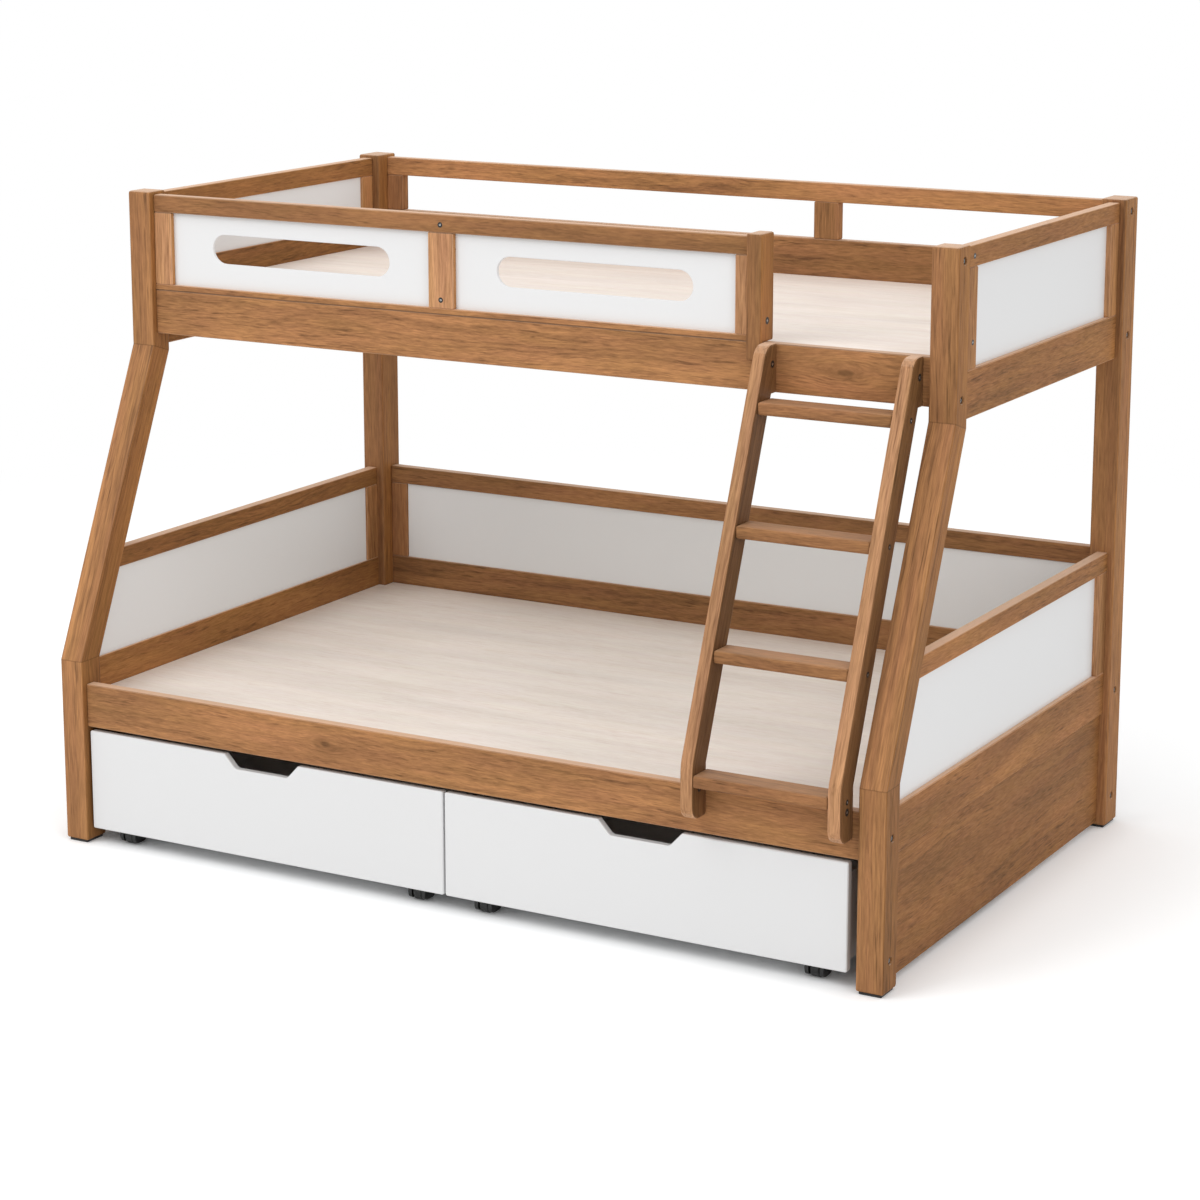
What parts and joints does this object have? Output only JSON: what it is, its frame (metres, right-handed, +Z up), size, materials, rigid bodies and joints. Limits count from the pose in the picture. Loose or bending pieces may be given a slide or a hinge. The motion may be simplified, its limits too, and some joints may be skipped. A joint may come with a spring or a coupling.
{
  "type": "bunk bed",
  "caption": "Bunk bed: a single bed set back over a wide bed, with bent front posts, slotted guard panels, a sloping ladder and rolling under-bed drawers.",
  "frame": {"origin": "on the floor, under the middle of the bed's outline, ladder foot included", "axes": "+X along the bed towards the ladder's end, +Y from the front to the back, +Z up"},
  "size_m": [1.98, 1.326, 1.415],
  "materials": {
    "oak": "satin stained oak",
    "white_lacquer": "satin white lacquer",
    "plywood": "matte whitewashed plywood",
    "black_plastic": "matte black plastic"
  },
  "bodies": {
    "root": {"left_front_post": "oak", "left_rear_post": "oak", "left_front_foot": "black_plastic", "left_rear_foot": "black_plastic", "left_lower_end_rail": "oak", "left_lower_end_frame": "oak", "left_lower_end_panel": "white_lacquer", "left_skirt_board": "oak", "left_upper_end_rail": "oak", "left_upper_end_frame": "oak", "left_upper_end_panel": "white_lacquer", "right_front_post": "oak", "right_rear_post": "oak", "right_front_foot": "black_plastic", "right_rear_foot": "black_plastic", "right_lower_end_rail": "oak", "right_lower_end_frame": "oak", "right_lower_end_panel": "white_lacquer", "right_skirt_board": "oak", "right_upper_end_rail": "oak", "right_upper_end_frame": "oak", "right_upper_end_panel": "white_lacquer", "lower_front_rail": "oak", "lower_rear_rail": "oak", "lower_back_frame": "oak", "lower_back_panel": "white_lacquer", "lower_platform": "plywood", "lower_bearer": "oak", "upper_front_rail": "oak", "upper_rear_rail": "oak", "rear_guard_frame": "oak", "guard_left_panel": "white_lacquer", "guard_right_panel": "white_lacquer", "guard_left_stile": "oak", "guard_middle_stile": "oak", "guard_right_stile": "oak", "guard_sill": "oak", "guard_top_rail": "oak", "gate_post": "oak", "upper_platform": "plywood", "upper_bearer": "oak", "ladder_left_stringer": "oak", "ladder_right_stringer": "oak", "ladder_tread_1": "oak", "ladder_tread_2": "oak", "ladder_tread_3": "oak", "ladder_tread_4": "oak"},
    "left_drawer": {"left_drawer_front": "white_lacquer", "left_drawer_tray": "white_lacquer"},
    "left_drawer_wheel_1": {"left_drawer_wheel_1": "black_plastic"},
    "left_drawer_wheel_2": {"left_drawer_wheel_2": "black_plastic"},
    "left_drawer_wheel_3": {"left_drawer_wheel_3": "black_plastic"},
    "left_drawer_wheel_4": {"left_drawer_wheel_4": "black_plastic"},
    "right_drawer": {"right_drawer_front": "white_lacquer", "right_drawer_tray": "white_lacquer"},
    "right_drawer_wheel_1": {"right_drawer_wheel_1": "black_plastic"},
    "right_drawer_wheel_2": {"right_drawer_wheel_2": "black_plastic"},
    "right_drawer_wheel_3": {"right_drawer_wheel_3": "black_plastic"},
    "right_drawer_wheel_4": {"right_drawer_wheel_4": "black_plastic"}
  },
  "joints": [
    {"name": "left_drawer_slide", "type": "slide", "parent": "root", "child": "left_drawer", "axis": [0, -1, 0], "range_m": [0, 0.65]},
    {"name": "left_drawer_wheel_1_roll", "type": "hinge", "parent": "left_drawer", "child": "left_drawer_wheel_1", "pos_m": [-0.847, -0.562, 0.02], "axis": [1, 0, 0], "range_deg": [0, 1863]},
    {"name": "left_drawer_wheel_2_roll", "type": "hinge", "parent": "left_drawer", "child": "left_drawer_wheel_2", "pos_m": [-0.091, -0.562, 0.02], "axis": [1, 0, 0], "range_deg": [0, 1863]},
    {"name": "left_drawer_wheel_3_roll", "type": "hinge", "parent": "left_drawer", "child": "left_drawer_wheel_3", "pos_m": [-0.847, 0.075, 0.02], "axis": [1, 0, 0], "range_deg": [0, 1863]},
    {"name": "left_drawer_wheel_4_roll", "type": "hinge", "parent": "left_drawer", "child": "left_drawer_wheel_4", "pos_m": [-0.091, 0.075, 0.02], "axis": [1, 0, 0], "range_deg": [0, 1863]},
    {"name": "right_drawer_slide", "type": "slide", "parent": "root", "child": "right_drawer", "axis": [0, -1, 0], "range_m": [0, 0.65]},
    {"name": "right_drawer_wheel_1_roll", "type": "hinge", "parent": "right_drawer", "child": "right_drawer_wheel_1", "pos_m": [0.072, -0.562, 0.02], "axis": [1, 0, 0], "range_deg": [0, 1863]},
    {"name": "right_drawer_wheel_2_roll", "type": "hinge", "parent": "right_drawer", "child": "right_drawer_wheel_2", "pos_m": [0.828, -0.562, 0.02], "axis": [1, 0, 0], "range_deg": [0, 1863]},
    {"name": "right_drawer_wheel_3_roll", "type": "hinge", "parent": "right_drawer", "child": "right_drawer_wheel_3", "pos_m": [0.072, 0.075, 0.02], "axis": [1, 0, 0], "range_deg": [0, 1863]},
    {"name": "right_drawer_wheel_4_roll", "type": "hinge", "parent": "right_drawer", "child": "right_drawer_wheel_4", "pos_m": [0.828, 0.075, 0.02], "axis": [1, 0, 0], "range_deg": [0, 1863]}
  ],
  "couplings": [
    {"joint": "left_drawer_wheel_1_roll", "follows": "left_drawer_slide", "rad_per_m": 50},
    {"joint": "left_drawer_wheel_2_roll", "follows": "left_drawer_slide", "rad_per_m": 50},
    {"joint": "left_drawer_wheel_3_roll", "follows": "left_drawer_slide", "rad_per_m": 50},
    {"joint": "left_drawer_wheel_4_roll", "follows": "left_drawer_slide", "rad_per_m": 50},
    {"joint": "right_drawer_wheel_1_roll", "follows": "right_drawer_slide", "rad_per_m": 50},
    {"joint": "right_drawer_wheel_2_roll", "follows": "right_drawer_slide", "rad_per_m": 50},
    {"joint": "right_drawer_wheel_3_roll", "follows": "right_drawer_slide", "rad_per_m": 50},
    {"joint": "right_drawer_wheel_4_roll", "follows": "right_drawer_slide", "rad_per_m": 50}
  ]
}
